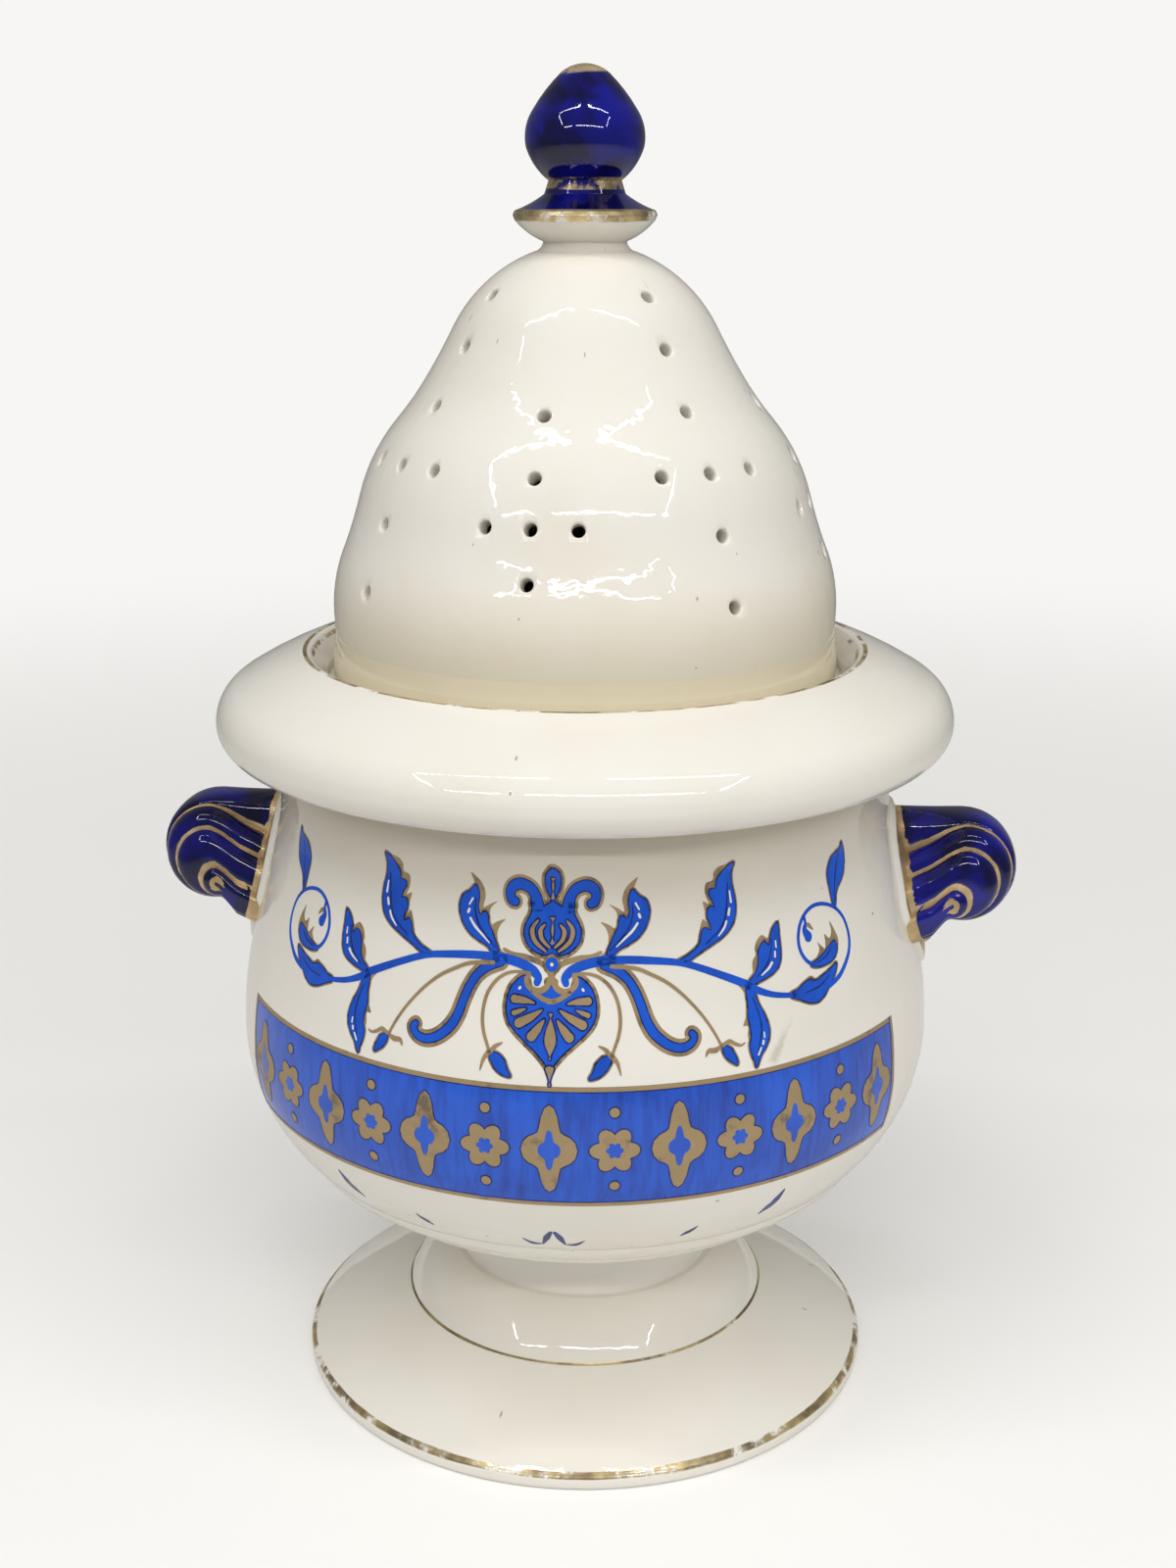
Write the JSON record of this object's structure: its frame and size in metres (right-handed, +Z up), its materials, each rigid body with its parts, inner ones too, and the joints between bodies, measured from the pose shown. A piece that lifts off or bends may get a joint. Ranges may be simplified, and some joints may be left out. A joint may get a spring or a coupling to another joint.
{
  "type": "leech jar",
  "caption": "Footed pottery jar with a bellied bowl, a thick rolled rim, scroll lug handles and a tall bell-shaped cover, pierced with air holes and topped by an acorn knob.",
  "frame": {"origin": "middle of the foot's base, on the plane that the jar stands on", "axes": "+Z up along the jar's axis, +X towards the right handle, -Y towards the decorated front"},
  "size_m": [0.2922, 0.245, 0.44],
  "materials": {
    "glaze": "glossy ivory glaze",
    "cobalt": "glossy deep cobalt glaze",
    "print_blue": "blue printed under the glaze",
    "gilding": "worn gilding on the glaze"
  },
  "bodies": {
    "jar": {"foot_plate": "glaze", "foot_stem": "glaze", "base_moulding": "glaze", "bowl": "glaze", "rim_roll": "glaze", "gallery_ring": "glaze", "handle_leaf_right": "glaze", "handle_leaf_left": "glaze", "handle_scroll_right": "cobalt", "handle_scroll_left": "cobalt"},
    "cover": {"cover_dome": "glaze", "cover_flange": "glaze", "finial_collar": "glaze", "finial_knob": "cobalt"}
  },
  "joints": [
    {"name": "cover_lift", "type": "slide", "parent": "jar", "child": "cover", "axis": [0, 0, 1], "range_m": [0, 0.12]}
  ]
}
